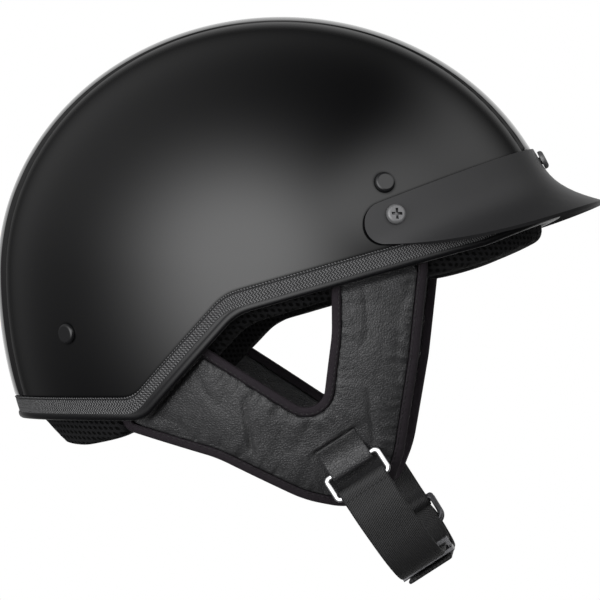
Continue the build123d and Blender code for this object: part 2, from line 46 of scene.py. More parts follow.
def say(stage):
    print("stage:", stage)


# sizes shared by several pieces, as the CAD has them: those with mm in metres, the others in millimetres
shell = {
    "length": 140.5 * mm, "width": 115.0 * mm, "crown": 127.0 * mm, "deep": 176.0 * mm,
    "wall": 3.5 * mm, "seat": 1.5,
}
rimLine = {
    "corners": ((-170.0, -73.5), (-58.0, -71.0), (-12.0, -21.0), (104.0, 12.0), (170.0, 40.0)),
    "bends": (14.0, 24.0, 60.0),
}
panel = {
    "inset": 7.6 * mm, "deep": 152.0 * mm, "rise": 8.0, "binding": 4.5,
    "outline": (
        (-86.0, 70.0), (-86.0, -44.0), (-68.0, -76.5), (-24.0, -89.0), (17.0, -109.5), (38.0, -114.0),
        (57.0, -106.5), (64.0, -88.0), (71.5, -42.0), (76.0, 0.0), (76.0, 70.0),
    ),
    "bends": (9.0, 6.0, 60.0, 60.0, 30.0, 9.0, 60.0, 120.0, 80.0),
    "window": ((-62.0, 70.0), (-62.0, -14.5), (26.0, -70.5), (31.5, -30.0), (31.5, 70.0)),
    "windowBends": (5.0, 9.0, 60.0),
}
# the chin strap's plane leans forward; points are counted to the left, up, and across it
strap = {
    "lean": math.radians(33.0), "line": -17.0, "width": 25.0, "thick": 2.0, "ring": 82.0, "tabBar": 98.5,
    "bar": 110.1, "low": 159.0, "tailLow": 164.2, "tailEnd": -17.0, "loop": 2.55,
}


def filletLine(corners, bends, step=0.5):
    # polyline with rounded corners, as a list of close points
    points = [Vector(corner) for corner in corners]
    line = [points[0]]
    for i, bend in enumerate(bends):
        before, here, after = points[i:i + 3]
        back = (before - here).normalized()
        ahead = (after - here).normalized()
        half = back.angle(ahead) / 2
        cut = bend / math.tan(half)
        centre = here + (back + ahead).normalized() * (bend / math.sin(half))
        start = here + back * cut
        turn = math.pi - 2 * half
        sign = 1.0 if (back.x * ahead.y - back.y * ahead.x) < 0 else -1.0
        count = max(2, int(bend * turn / step))
        arm = start - centre
        for k in range(count + 1):
            a = sign * turn * k / count
            line.append(centre + Vector((arm.x * math.cos(a) - arm.y * math.sin(a),
                                         arm.x * math.sin(a) + arm.y * math.cos(a))))
    line.append(points[-1])
    dense = []
    for a, b in zip(line, line[1:]):
        run = (b - a).length
        if run < 1e-6:
            continue
        count = max(1, int(math.ceil(run / (step * 2))))
        dense += [a.lerp(b, k / count) for k in range(count)]
    dense.append(line[-1])
    return dense


def raisedCorners(rise):
    # the rim's corners moved up at right angles to the rim
    ends = rimLine["corners"]
    lines = []
    for start, end in zip(ends, ends[1:]):
        run = math.dist(start, end)
        u = ((end[0] - start[0]) / run, (end[1] - start[1]) / run)
        lines.append(((start[0] - u[1] * rise, start[1] + u[0] * rise), u, run))
    points = [lines[0][0]]
    for (p, u, _), (q, v, _) in zip(lines, lines[1:]):
        t = ((q[0] - p[0]) * v[1] - (q[1] - p[1]) * v[0]) / (u[0] * v[1] - u[1] * v[0])
        points.append((p[0] + u[0] * t, p[1] + u[1] * t))
    p, u, run = lines[-1]
    points.append((p[0] + u[0] * run, p[1] + u[1] * run))
    return points


rimCache = {}


def rimHeight(x, rise):
    # height of the raised rim line in side view, all in millimetres
    key = round(rise, 3)
    if key not in rimCache:
        line = filletLine(raisedCorners(rise), rimLine["bends"])
        rimCache[key] = (np.array([p.x for p in line]), np.array([p.y for p in line]))
    return np.interp(x, *rimCache[key])


def domeGirth(angle, outset):
    # distance from the middle to the dome's widest level, in metres
    a, b = shell["length"] + outset, shell["width"] + outset
    return 1.0 / math.hypot(math.cos(angle) / a, math.sin(angle) / b)


def domeFactor(z, outset):
    deep = (shell["crown"] if z > 0 else shell["deep"]) + outset
    return math.sqrt(max(0.0, 1.0 - (z / deep) ** 2))


def rimPoint(angle, rise, outset):
    # point of a dome layer where the raised rim line crosses it
    girth = domeGirth(angle, outset)
    z = 0.0
    for _ in range(12):  # height and distance from the middle settle together
        x = girth * domeFactor(z, outset) * math.cos(angle)
        z = 0.5 * z + 0.5 * float(rimHeight(x / mm, rise)) * mm
    r = girth * domeFactor(z, outset)
    return Vector((r * math.cos(angle), r * math.sin(angle), z))


def panelPoint(x, z, outset, side):
    # point of the side panels' surface above a place in side view, in metres
    step = outset - panel["inset"]
    a, b = shell["length"] + step, shell["width"] + step
    c = shell["crown"] + step if z > 0 else panel["deep"] + outset
    y = b * math.sqrt(max(0.0, 1.0 - (x / a) ** 2 - (z / c) ** 2))
    return Vector((x, side * y, z))


def panelNormal(x, z, side):
    step = -panel["inset"]
    a, b = shell["length"] + step, shell["width"] + step
    c = shell["crown"] + step if z > 0 else panel["deep"]
    y = panelPoint(x, z, 0.0, side).y
    return Vector((x / a ** 2, y / b ** 2, z / c ** 2)).normalized()


def domeFacing(co, length, width, up, deep):
    # the outward direction of a dome at each of its points
    facing = np.empty_like(co)
    facing[:, 0] = co[:, 0] / length ** 2
    facing[:, 1] = co[:, 1] / width ** 2
    facing[:, 2] = co[:, 2] / np.where(co[:, 2] > 0, up, deep) ** 2
    return facing / np.linalg.norm(facing, axis=1, keepdims=True)


def gridFaces(rows, cols, wrapRows=False, wrapCols=False):
    faces = []
    for i in range(rows if wrapRows else rows - 1):
        for j in range(cols if wrapCols else cols - 1):
            a, b = i * cols + j, i * cols + (j + 1) % cols
            c, d = ((i + 1) % rows) * cols + (j + 1) % cols, ((i + 1) % rows) * cols + j
            faces.append((a, b, c, d))
    return faces


def endCaps(rows, cols):
    # the two flat ends of a swept section
    return [tuple(range(cols)), tuple(reversed(range((rows - 1) * cols, rows * cols)))]


def placed(name, data):
    made = bpy.data.objects.new(name, data)
    scene.collection.objects.link(made)
    return made


def carried(piece, body):
    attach(piece, body)
    return piece


def dress(piece, key):
    piece.data.materials.clear()
    piece.data.materials.append(materials[key])


def meshPiece(name, verts, faces, body, slot, uvs, join=0.0):
    # one smooth skin whose faces look outwards; points closer than join become one
    mesh = bpy.data.meshes.new(name)
    mesh.from_pydata([tuple(v) for v in verts], [], faces)
    if uvs:
        layer = mesh.uv_layers.new(name="along")
        for loop in mesh.loops:
            layer.data[loop.index].uv = uvs[loop.vertex_index]
    for poly in mesh.polygons:
        poly.use_smooth = True
    bm = bmesh.new()
    bm.from_mesh(mesh)
    if join:
        bmesh.ops.remove_doubles(bm, verts=bm.verts, dist=join)
    bmesh.ops.recalc_face_normals(bm, faces=bm.faces)
    bm.to_mesh(mesh)
    bm.free()
    mesh.update()
    piece = carried(placed(name, mesh), body)
    dress(piece, slot)
    return piece


def mirrorPiece(piece, name, body):
    # the same mesh on the wearer's left
    mesh = piece.data.copy()
    mesh.name = name
    mesh.transform(Matrix.Diagonal((1, -1, 1, 1)))
    mesh.flip_normals()
    return carried(placed(name, mesh), body)


# camera at the photograph's place and angle
photo = {
    "angle": math.radians(4.0), "distance": 1.6, "aim": Vector((9.5, 0.0, -14.0)) * mm, "field": 0.3,
    "sensor": 36.0, "farthest": 20.0,
}
cameraData = bpy.data.cameras.new("photoCamera")
cameraData.sensor_width = photo["sensor"]
cameraData.lens = photo["sensor"] * photo["distance"] / photo["field"]
cameraData.clip_end = photo["farthest"]
camera = placed("photoCamera", cameraData)
towards = Vector((math.sin(photo["angle"]), -math.cos(photo["angle"]), 0.0))
camera.location = photo["aim"] + towards * photo["distance"]
camera.rotation_euler = (-towards).to_track_quat("-Z", "Y").to_euler()
scene.camera = camera

# white surroundings; reflections see white behind the object and a dim room with two wide glows in front
world = bpy.data.worlds.new("studio")
scene.world = world
world.use_nodes = True
tree = world.node_tree
tree.nodes.clear()
room = {
    "plain": 0.42, "dim": 0.012, "backFrom": 0.7, "backTo": 1.06, "nearFrom": 0.8, "nearTo": -0.1,
    "falling": 1.5,
    "glows": (
        {"at": (-0.2, 0.14), "wide": (0.57, 0.58), "power": 3.7},
        {"at": (0.6, 0.5), "wide": (0.32, 0.3), "power": 1.6},
    ),
}


def feed(tree, socket, value):
    # a socket gets another node's output or a plain value
    if hasattr(value, "is_output"):
        tree.links.new(value, socket)
    else:
        socket.default_value = value


def newNode(tree, kind, inputs=(), **values):
    made = tree.nodes.new(kind)
    for key, value in values.items():
        setattr(made, key, value)
    for key, value in inputs:
        feed(tree, made.inputs[key], value)
    return made


def mathNode(tree, how, a, b=0.0, c=0.0):
    return newNode(tree, "ShaderNodeMath", enumerate((a, b, c)), operation=how).outputs[0]


def rangeNode(tree, value, fromLow, fromHigh, low=0.0, high=1.0, how="LINEAR"):
    inputs = enumerate((value, fromLow, fromHigh, low, high))
    return newNode(tree, "ShaderNodeMapRange", inputs, interpolation_type=how).outputs["Result"]


def worldMath(how, a, b=0.0):
    return mathNode(tree, how, a, b)


def background(strength):
    inputs = (("Color", (1, 1, 1, 1)), ("Strength", strength))
    return newNode(tree, "ShaderNodeBackground", inputs).outputs[0]


def chosen(share, a, b):
    return newNode(tree, "ShaderNodeMixShader", enumerate((share, a, b))).outputs[0]


def eased(value, start, end):
    return rangeNode(tree, value, start, end, how="SMOOTHSTEP")


path = newNode(tree, "ShaderNodeLightPath")
around = newNode(tree, "ShaderNodeTexCoord").outputs["Generated"]
heading = newNode(tree, "ShaderNodeSeparateXYZ", ((0, around),)).outputs
glow = 0.0
for spot in room["glows"]:
    dx = worldMath("DIVIDE", worldMath("SUBTRACT", heading[0], spot["at"][0]), spot["wide"][0])
    dz = worldMath("DIVIDE", worldMath("SUBTRACT", heading[2], spot["at"][1]), spot["wide"][1])
    fall = worldMath("ADD", worldMath("MULTIPLY", dx, dx), worldMath("MULTIPLY", dz, dz))
    soft = worldMath("EXPONENT", worldMath("MULTIPLY", worldMath("POWER", fall, room["falling"]), -1.0))
    glow = worldMath("ADD", worldMath("MULTIPLY", soft, spot["power"]), glow)
inFront = eased(heading[1], room["nearFrom"], room["nearTo"])
glow = worldMath("ADD", worldMath("MULTIPLY", glow, inFront), room["dim"])
white = background(1.0)
glossy = chosen(eased(heading[1], room["backFrom"], room["backTo"]), background(glow), white)
lit = chosen(path.outputs["Is Glossy Ray"], background(room["plain"]), glossy)
clear = worldMath("MAXIMUM", path.outputs["Is Camera Ray"], path.outputs["Is Transmission Ray"])
newNode(tree, "ShaderNodeOutputWorld", (("Surface", chosen(clear, lit, white)),))

softBoxes = {
    "sideBox": {"at": (-0.62, -1.2, -0.04), "size": (0.85, 0.46), "watts": 26.0},
    "topBox": {"at": (0.25, -0.75, 1.35), "size": (0.9, 0.6), "watts": 9.0},
    "frontBox": {"at": (1.3, -0.75, 0.35), "size": (0.4, 0.9), "watts": 7.0},
    "rearBox": {"at": (-1.35, 0.3, 0.5), "size": (0.4, 0.9), "watts": 7.0},
}
lampAim = Vector((0.0, 0.0, -0.02))
for boxName, spec in softBoxes.items():
    lampData = bpy.data.lights.new(boxName, "AREA")
    lampData.shape = "RECTANGLE"
    lampData.size, lampData.size_y = spec["size"]
    lampData.energy = spec["watts"]
    lamp = placed(boxName, lampData)
    lamp.location = spec["at"]
    lamp.visible_glossy = False
    lamp.rotation_euler = (lampAim - Vector(spec["at"])).to_track_quat("-Z", "Y").to_euler()
say("camera and light")


materials = {}


class Shade:
    # one principled material, kept under its slot, and the nodes that feed it
    def __init__(self, slot, name, colour, rough, metal=0.0, specular=0.5):
        materials[slot] = bpy.data.materials.new(name)
        materials[slot].use_nodes = True
        self.tree = materials[slot].node_tree
        self.shader = self.tree.nodes["Principled BSDF"]
        self.height = None
        self.drive("Base Color", (*colour, 1))
        self.drive("Roughness", rough)
        self.drive("Metallic", metal)
        self.drive("Specular IOR Level", specular)

    def drive(self, key, value):
        feed(self.tree, self.shader.inputs[key], value)

    def node(self, kind, inputs=(), **values):
        return newNode(self.tree, kind, inputs, **values)

    def coords(self, along=None):
        if along:
            return self.node("ShaderNodeUVMap", uv_map=along).outputs["UV"]
        return self.node("ShaderNodeTexCoord").outputs["Object"]

    def noise(self, vector, scale, detail=3.0, rough=0.5):
        inputs = (("Vector", vector), ("Scale", scale), ("Detail", detail), ("Roughness", rough))
        return self.node("ShaderNodeTexNoise", inputs).outputs["Fac"]

    def math(self, how, a, b=0.0, c=0.0):
        return mathNode(self.tree, how, a, b, c)

    def parts(self, vector):
        return self.node("ShaderNodeSeparateXYZ", ((0, vector),)).outputs

    def ramp(self, value, low, high, fromLow=0.0, fromHigh=1.0):
        return rangeNode(self.tree, value, fromLow, fromHigh, low, high)

    def tint(self, value, dark, light):
        made = self.node("ShaderNodeMix", ((0, value),), data_type="RGBA")
        colours = [s for s in made.inputs if s.type == "RGBA"]
        colours[0].default_value = (*dark, 1)
        colours[1].default_value = (*light, 1)
        self.drive("Base Color", [s for s in made.outputs if s.type == "RGBA"][0])

    def unshadedShare(self, reach):
        # one on open surface, towards nought where another piece touches it or in a recess; the materials use
        # it to paint shade there
        made = self.node("ShaderNodeAmbientOcclusion", (("Distance", reach),), samples=8)
        return self.math("SMOOTH_MIN", made.outputs["AO"], 1.0, 0.05)

    def bump(self, height, depth, strength=1.0):
        inputs = [("Height", height), ("Distance", depth), ("Strength", strength)]
        if self.height is not None:
            inputs.append(("Normal", self.height))
        self.height = self.node("ShaderNodeBump", inputs).outputs["Normal"]
        self.drive("Normal", self.height)


def weave(shade, vector, pitchAlong, pitchAcross):
    # two crossing thread directions, each thread rising where it passes over the other
    u, v, _ = shade.parts(vector)
    weft = shade.math("SINE", shade.math("MULTIPLY", u, math.pi / pitchAlong))
    warp = shade.math("SINE", shade.math("MULTIPLY", v, math.pi / pitchAcross))
    turn = shade.ramp(shade.math("MULTIPLY", weft, warp), 0.0, 1.0, -0.4, 0.4)
    over = shade.math("MULTIPLY", shade.math("ABSOLUTE", warp), turn)
    under = shade.math("MULTIPLY", shade.math("ABSOLUTE", weft), shade.math("SUBTRACT", 1.0, turn))
    return shade.math("ADD", over, under)


shade = Shade("shell", "shellGloss", (0.0018, 0.0018, 0.002), 0.14, specular=0.5)
shade.drive("Roughness", shade.ramp(shade.noise(shade.coords(), 38.0, 4.0), 0.08, 0.12))
# painted shade: the shell's reflection dies away to black where the visor, trim, rivets and screws meet it, a
# painted contact shadow line
shade.drive("Specular IOR Level", shade.ramp(shade.unshadedShare(1.6 * mm), 0.0, 0.5, 0.5, 0.95))

shade = Shade("visor", "visorSatin", (0.0125, 0.0125, 0.0132), 0.42, specular=0.42)
shade.bump(shade.noise(shade.coords(), 1500.0, 2.0), 0.00004, 0.5)
# painted shade: the visor reflects less on faces that look downwards, which darkens its underside
facingUp = shade.parts(shade.node("ShaderNodeNewGeometry").outputs["Normal"])[2]
shade.drive("Specular IOR Level", shade.ramp(facingUp, 0.05, 0.42, -0.6, -0.1))

shade = Shade("foam", "linerFoam", (0.02, 0.02, 0.02), 0.85, specular=0.3)
shade.bump(shade.noise(shade.coords(), 420.0, 2.0), 0.0004, 0.5)

shade = Shade("black_screw", "blackScrew", (0.11, 0.11, 0.113), 0.36, metal=0.45)
# painted shade: the screw head is tinted near black in its cross recess and where it meets the visor, and
# grey on its open faces
screwUnshaded = shade.ramp(shade.unshadedShare(1.2 * mm), 0.0, 1.0, 0.55, 0.9)
shade.tint(screwUnshaded, (0.001, 0.001, 0.001), (0.12, 0.12, 0.123))

shade = Shade("steel", "plainSteel", (0.55, 0.55, 0.56), 0.35, metal=1.0)

shade = Shade("rivet", "rivetPaint", (0.006, 0.006, 0.0065), 0.1, specular=0.5)

shade = Shade("ring", "polishedRing", (0.68, 0.68, 0.69), 0.18, metal=0.9)
shade.drive("Roughness", shade.ramp(shade.noise(shade.coords(), 220.0), 0.14, 0.26))

shade = Shade("slider", "darkSlider", (0.085, 0.085, 0.09), 0.4, metal=0.6)
shade.drive("Roughness", shade.ramp(shade.noise(shade.coords(), 300.0), 0.28, 0.42))

shade = Shade("leather", "leather", (0.0175, 0.0175, 0.0183), 0.4, specular=0.55)
place = shade.coords()
inputs = (("Vector", place), ("Scale", 850.0))
cells = shade.node("ShaderNodeTexVoronoi", inputs, feature="DISTANCE_TO_EDGE")
shade.bump(shade.ramp(cells.outputs["Distance"], 0.0, 1.0, 0.0, 0.25), 0.0002, 0.8)
shade.bump(shade.noise(place, 75.0, 6.0, 0.55), 0.0018, 0.5)
shade.drive("Roughness", shade.ramp(shade.noise(place, 260.0, 3.0), 0.34, 0.52))

shade = Shade("pad_fabric", "spacerMesh", (0.006, 0.006, 0.006), 0.9, specular=0.12)
holePitch = 3.1 * mm
u, v, _ = shade.parts(shade.coords("along"))
shifted = shade.math("ADD", u, shade.math("MULTIPLY", v, 0.5))
row = shade.node("ShaderNodeCombineXYZ", enumerate((shifted, shade.math("MULTIPLY", v, 1.15))))
inputs = (("Vector", row.outputs[0]), ("Scale", 1.0 / holePitch), ("Randomness", 0.0))
holes = shade.node("ShaderNodeTexVoronoi", inputs, feature="F1", voronoi_dimensions="2D")
# the mesh's hole pattern; the holes are also tinted much darker than their rims, painted shade inside the
# holes
rims = shade.ramp(holes.outputs["Distance"], 0.0, 1.0, 0.2, 0.36)
shade.tint(rims, (0.0006, 0.0006, 0.0006), (0.0062, 0.0062, 0.0066))
shade.bump(rims, 0.0009, 0.9)
shade.bump(shade.noise(shade.coords(), 1900.0, 2.0), 0.0002, 0.5)

shade = Shade("binding", "bindingCloth", (0.0105, 0.0085, 0.0105), 0.8, specular=0.25)
shade.bump(weave(shade, shade.coords("along"), 0.8 * mm, 0.7 * mm), 0.00025, 0.7)

shade = Shade("webbing", "webbingWeave", (0.015, 0.015, 0.0155), 0.62, specular=0.35)
cord = {"along": 1.05 * mm, "across": 1.1 * mm}
u, v, _ = shade.parts(shade.coords("along"))
sideways = shade.math("MULTIPLY", v, math.pi / cord["across"])
slant = shade.math("ADD", shade.math("MULTIPLY", u, 2 * math.pi / cord["along"]), sideways)
twill = shade.math("SINE", slant)
cords = shade.math("ABSOLUTE", shade.math("SINE", sideways))
# painted highlight and shade: the webbing is tinted lighter on its raised ribs and darker between them, from
# the same mask that drives the bump
ribsAndSheen = shade.math("ADD", shade.ramp(twill, 0.0, 0.65, -0.7, 1.0), shade.math("MULTIPLY", cords, 0.35))
shade.tint(ribsAndSheen, (0.004, 0.004, 0.0042), (0.021, 0.021, 0.0215))
shade.bump(ribsAndSheen, 0.0003, 0.8)

shade = Shade("hidden", "hiddenWebbing", (0.02, 0.02, 0.021), 0.8, specular=0.3)
shade.bump(shade.noise(shade.coords(), 700.0, 2.0), 0.0003, 0.5)

shade = Shade("trim", "trimWeave", (0.02, 0.02, 0.0205), 0.55, specular=0.45)
herringbone = {
    "from": 1.4 * mm, "to": 1.9 * mm, "fold": 1.1 * mm, "along": 1.5 * mm, "across": 1.3 * mm,
    "groove": 8.8 * mm, "grooveHalf": 0.2 * mm, "grooveFade": 0.5 * mm,
}
u, v, _ = shade.parts(shade.coords("along"))
cloth = shade.ramp(v, 0.0, 1.0, herringbone["from"], herringbone["to"])
zigzag = shade.math("PINGPONG", v, herringbone["fold"])
slant = shade.math("ADD", shade.math("MULTIPLY", u, 2 * math.pi / herringbone["along"]),
                   shade.math("MULTIPLY", zigzag, 2 * math.pi / herringbone["across"]))
# painted highlight and shade: the herringbone's raised threads are tinted light and the hollows between them
# dark, from the same mask that drives the bump
threadsAndHighlights = shade.ramp(shade.math("SINE", slant), 0.0, 1.0, -0.45, 0.9)
loose = shade.ramp(shade.noise(shade.coords("along"), 900.0, 2.0), 0.55, 1.0, 0.3, 0.7)
threadsAndHighlights = shade.math("MULTIPLY", shade.math("MULTIPLY", threadsAndHighlights, loose), cloth)
# painted shade: the weave's colour goes dark along the groove below the trim's top edge
aside = shade.math("ABSOLUTE", shade.math("SUBTRACT", v, herringbone["groove"]))
groove = shade.ramp(aside, 1.0, 0.0, herringbone["grooveHalf"], herringbone["grooveFade"])
threadsAndHighlights = shade.math("MULTIPLY", threadsAndHighlights, shade.math("SUBTRACT", 1.0, groove))
shade.tint(threadsAndHighlights, (0.002, 0.002, 0.0024), (0.135, 0.135, 0.138))
shade.bump(threadsAndHighlights, 0.0006, 0.9)
shade.drive("Roughness", shade.ramp(cloth, 0.4, 0.68))

shade = Shade("thread", "stitchThread", (0.003, 0.003, 0.0032), 0.5, specular=0.45)
say("materials")


# gloss shell with its raised centre band, replacing the CAD one so that reflections run clean
shellGrid = {"around": 480, "outerRows": 150, "innerRows": 40}
band = {
    "rise": 1.3 * mm, "fade": 0.2 * mm, "front": 22.5, "rear": 36.0, "foot": 11.2, "soft": 1.8,
    "reach": 170.0, "visorFrom": 40.0, "visorTop": ((56.5, 32.6), (125.0, 60.5)), "gap": 0.3,
}


def bandShare(x, y, z):
    # one on the centre band, zero off it, over a narrow slope; sizes in millimetres
    half = band["front"] + (band["rear"] - band["front"]) * (band["reach"] - x) / (2 * band["reach"])
    side = (half - abs(y)) / band["soft"] + 0.5
    foot = (z - float(rimHeight(x, band["foot"]))) / band["soft"] + 0.5
    (x0, z0), (x1, z1) = band["visorTop"]
    top = z0 + (z1 - z0) / (x1 - x0) * (x - x0) + band["gap"]
    ahead = (z - top) / band["soft"] + 0.5 if x > band["visorFrom"] else 1.0
    share = max(0.0, min(1.0, side, foot, ahead))
    return share * share * (3.0 - 2.0 * share)


def domeRows(inset, count, withBand):
    # rows of points from the rim to the crown on one layer of the shell
    around = shellGrid["around"]
    verts = []
    for j in range(count):
        share = j / (count - 1)
        for i in range(around):
            angle = 2 * math.pi * i / around
            base = rimPoint(angle, shell["seat"], -inset)
            low = math.asin(max(-1.0, base.z / (shell["deep"] if base.z < 0 else shell["crown"])))
            lift = low + (math.pi / 2 - low) * share
            up = shell["crown"] if lift > 0 else shell["deep"]
            z = (up - inset) * math.sin(lift)
            r = domeGirth(angle, -inset) * math.cos(lift)
            point = Vector((r * math.cos(angle), r * math.sin(angle), z))
            if withBand:
                here = bandShare(point.x / mm, point.y / mm, point.z / mm)
                height = band["fade"] + (band["rise"] - band["fade"]) * math.cos(lift) ** 2
                point += point.normalized() * (height * here)
            verts.append(point)
    return verts


def glossShell():
    around, outer, inner = shellGrid["around"], shellGrid["outerRows"], shellGrid["innerRows"]
    verts = domeRows(0.0, outer, True) + domeRows(shell["wall"], inner, False)
    faces = gridFaces(outer, around, wrapCols=True)
    start = outer * around
    inside = gridFaces(inner, around, wrapCols=True)
    faces += [(start + b, start + a, start + d, start + c) for a, b, c, d in inside]
    faces += [(i, start + i, start + (i + 1) % around, (i + 1) % around) for i in range(around)]
    return meshPiece("glossShell", verts, faces, "helmet", "shell", None, join=1e-6)


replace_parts(glossShell(), "outer_shell")
say("shell")

# edge trim: woven channel with a smooth bead along the bottom
trim = {
    "section": (
        (-3.6, 10.9), (0.3, 11.0), (1.2, 11.0), (1.6, 10.75), (1.62, 10.35), (1.35, 10.05), (1.4, 9.7),
        (1.5, 8.0), (1.5, 6.0), (1.5, 4.2), (1.6, 3.6), (1.95, 3.25), (2.25, 2.6), (2.35, 1.7), (2.15, 0.7),
        (1.5, 0.12), (0.4, 0.0), (-1.8, 0.0), (-3.8, 0.05), (-4.6, 0.35), (-5.0, 1.1), (-5.0, 4.0),
        (-5.0, 7.5), (-5.0, 10.3), (-4.7, 10.8),
    ),
    "around": 720, "clothZero": 15.0 * mm,
}


def edgeTrim():
    section = trim["section"] + trim["section"][:1]
    around = trim["around"]
    verts, uvs = [], []
    runAlong = 0.0
    previous = rimPoint(0.0, 0.0, 0.0)
    for i in range(around + 1):
        angle = 2 * math.pi * i / around
        rim = rimPoint(angle, 0.0, 0.0)
        runAlong += (rim - previous).length
        previous = rim
        runAcross = 0.0
        last = rimPoint(angle, section[0][1], section[0][0] * mm)
        for outset, rise in section:
            point = rimPoint(angle, rise, outset * mm)
            runAcross += (point - last).length
            last = point
            verts.append(point)
            uvs.append((runAlong, trim["clothZero"] - runAcross))
    faces = gridFaces(around + 1, len(section))
    return meshPiece("edgeTrim", verts, faces, "helmet", "trim", uvs, join=1e-6)


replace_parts(edgeTrim(), "edge_trim")
say("trim")


def meshArray(mesh, what="co"):
    # places or normals of all points
    values = np.empty(len(mesh.vertices) * 3)
    mesh.vertices.foreach_get(what, values)
    return values.reshape(-1, 3)


def putArray(mesh, co):
    mesh.vertices.foreach_set("co", co.reshape(-1))
    mesh.update()


def copyNode(nodeName, name, voxel):
    # the CAD piece's own mesh, remade with even small faces
    piece = placed(name, nodes[nodeName].data.copy())
    piece.data.materials.clear()
    remesh = piece.modifiers.new("even", "REMESH")
    remesh.mode = "VOXEL"
    remesh.voxel_size = voxel
    applyModifiers(piece)
    return piece


def applyModifiers(piece):
    ready = bpy.data.meshes.new_from_object(piece.evaluated_get(bpy.context.evaluated_depsgraph_get()))
    piece.modifiers.clear()
    piece.data = ready
    for poly in ready.polygons:
        poly.use_smooth = True


def lineDistance(points, line):
    # least distance from each point to a line in side view, and how far along the line that is
    a = np.array([(p.x, p.y) for p in line])
    along = np.concatenate([[0.0], np.cumsum(np.linalg.norm(np.diff(a, axis=0), axis=1))])
    best, place = np.zeros(len(points)), np.zeros(len(points))
    batch = 4000  # points at a time, to spare memory
    for start in range(0, len(points), batch):
        part = points[start:start + batch]
        gap = np.sqrt(((part[:, None, :] - a[None, :, :]) ** 2).sum(axis=2))
        best[start:start + batch] = gap.min(axis=1)
        place[start:start + batch] = along[gap.argmin(axis=1)]
    return best, place


def fieldNoise(co, scale, seed, stretch=(1, 1, 1)):
    sx, sy, sz = stretch
    return np.array([noise.noise(Vector((x * sx + seed, y * sy, z * sz)) * scale) for x, y, z in co])


def ramped(value):
    return np.clip(value, 0.0, 1.0)


panelLine = filletLine(panel["outline"], panel["bends"])
windowLine = filletLine(panel["window"], panel["windowBends"])

# padded leather side panel, puffed between its bound edges; millimetres in side view
leather = {
    "voxel": 1.0 * mm, "puff": 1.5, "inner": 0.55, "run": 5.0, "outside": 0.4,
    "waves": (
        {"scale": 42.0, "seed": 3.1, "high": 0.55, "stretch": (1, 1, 1)},
        {"scale": 95.0, "seed": 7.7, "high": 0.28, "stretch": (1, 1, 0.6)},
    ),
    "wrinkle": {
        "scale": 48.0, "seed": 11.3, "stretch": (1.5, 1, 0.6), "narrow": 4.5, "clear": 5.0, "deep": 0.8,
    },
    "pinch": {
        "reach": 6.5, "high": 1.5, "windowStart": 37.0,
        "creases": ((3.4, 14.0, 5.5, 1.0), (1.7, 9.0, 9.1, 0.6)),  # width, length, seed, height
    },
    "fold": {"x": -8.5, "z": -74.0, "slant": 0.12, "wide": 1.2, "half": 16.0, "fade": 6.0, "deep": 1.5},
    "slit": {"up": -84.6, "wide": 0.85, "half": 12.5, "fade": 2.5, "deep": 1.5},
    "seat": {"up": -83.5, "fade": 2.0, "half": 15.0, "sideFade": 4.0, "flat": 0.85},
    "rays": {"scale": 120.0, "seed": 21.7, "up": -82.0, "wide": 17.0, "tall": 9.0, "high": 1.3},
    "tuck": {"fade": 2.2, "deep": 1.7},
}


def edgeDistance(flat):
    # distance from the binding, and a running number along the nearest edge
    outerAway, outerAlong = lineDistance(flat, panelLine)
    windowAway, windowAlong = lineDistance(flat, windowLine)
    away = np.clip(np.minimum(outerAway, windowAway) - panel["binding"], 0.0, None)
    return away, np.where(outerAway < windowAway, outerAlong, windowAlong + leather["pinch"]["windowStart"])


def seamPinch(away, along):
    # short creases that run from the binding into the leather
    pinch = leather["pinch"]
    creases = np.zeros(len(along))
    for wide, long, seed, high in pinch["creases"]:
        field = [noise.noise(Vector((a / wide, d / long, seed))) for a, d in zip(along, away)]
        creases += high * np.array(field)
    return pinch["high"] * creases * np.exp(-away / pinch["reach"]) * ramped(away)


def panelWrinkles(co, away):
    wrinkle = leather["wrinkle"]
    field = fieldNoise(co, wrinkle["scale"], wrinkle["seed"], wrinkle["stretch"])
    return wrinkle["deep"] * ramped(1.0 - np.abs(field) * wrinkle["narrow"]) * ramped(away / wrinkle["clear"])


def windowFold(x, z):
    # the crease below the window's corner
    fold = leather["fold"]
    beside = (x - fold["x"] + fold["slant"] * (z - fold["z"])) / fold["wide"]
    return fold["deep"] * np.exp(-beside ** 2) * ramped((fold["half"] - np.abs(z - fold["z"])) / fold["fade"])


def tabSeat(height, co, x, z):
    # the ring tab's slit, the flat place below it and the creases round it
    cosine, sine = math.cos(strap["lean"]), math.sin(strap["lean"])
    up = z * cosine - x * sine
    across = x * cosine + z * sine - strap["line"]
    slit, seat, rays = leather["slit"], leather["seat"], leather["rays"]
    opened = np.exp(-((up - slit["up"]) / slit["wide"]) ** 2)
    opened *= ramped((slit["half"] - np.abs(across)) / slit["fade"])
    seated = ramped((seat["up"] - up) / seat["fade"])
    seated *= ramped((seat["half"] - np.abs(across)) / seat["sideFade"])
    reach = np.hypot(across / rays["wide"], (up - rays["up"]) / rays["tall"])
    creases = fieldNoise(co, rays["scale"], rays["seed"]) * np.exp(-reach ** 2)
    height = height * (1.0 - seat["flat"] * seated) - slit["deep"] * opened
    return height + rays["high"] * creases * (1.0 - seated)


def tuckedUnder(height, x, z):
    # near and above the rim the leather sinks in, so that it passes inside the trim
    under = rimHeight(x, 0.0) - z
    tuck = np.exp(-(np.maximum(under, 0.0) / leather["tuck"]["fade"]) ** 2)
    return height * (1.0 - tuck) - leather["tuck"]["deep"] * tuck


